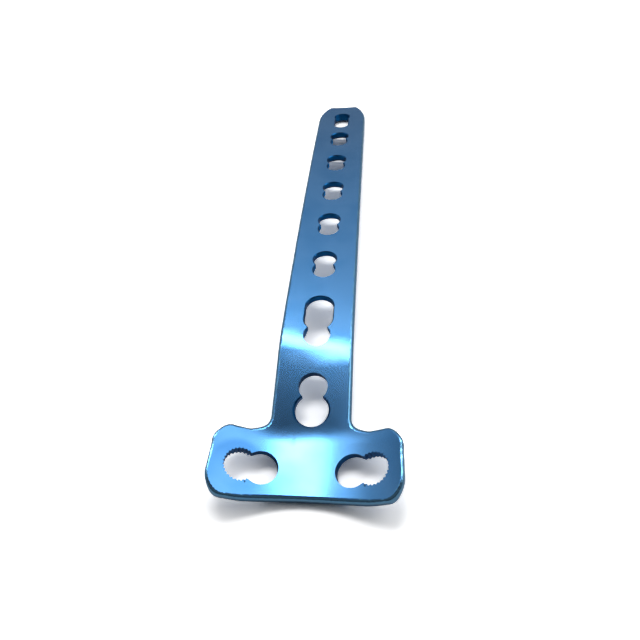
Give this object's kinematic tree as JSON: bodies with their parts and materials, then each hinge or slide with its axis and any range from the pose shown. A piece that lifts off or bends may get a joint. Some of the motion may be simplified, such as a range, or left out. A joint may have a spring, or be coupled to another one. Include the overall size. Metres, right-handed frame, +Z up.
{
  "type": "proximal tibia locking plate",
  "caption": "One-piece T-shaped bone plate with a curved head, a bent neck and a long shaft, pierced by two-lobed holes for locking or sliding screws.",
  "frame": {"origin": "middle of the plate's bounding box, on the surface that it lies on", "axes": "+Y from the wide head to the far tip, +Z up out of the hollow face that meets the bone, +X to the right seen from the head"},
  "size_m": [0.0376, 0.1484, 0.0084],
  "materials": {
    "anodised_metal": "satin blue anodised"
  },
  "bodies": {
    "root": {"plate": "anodised_metal"}
  },
  "joints": []
}
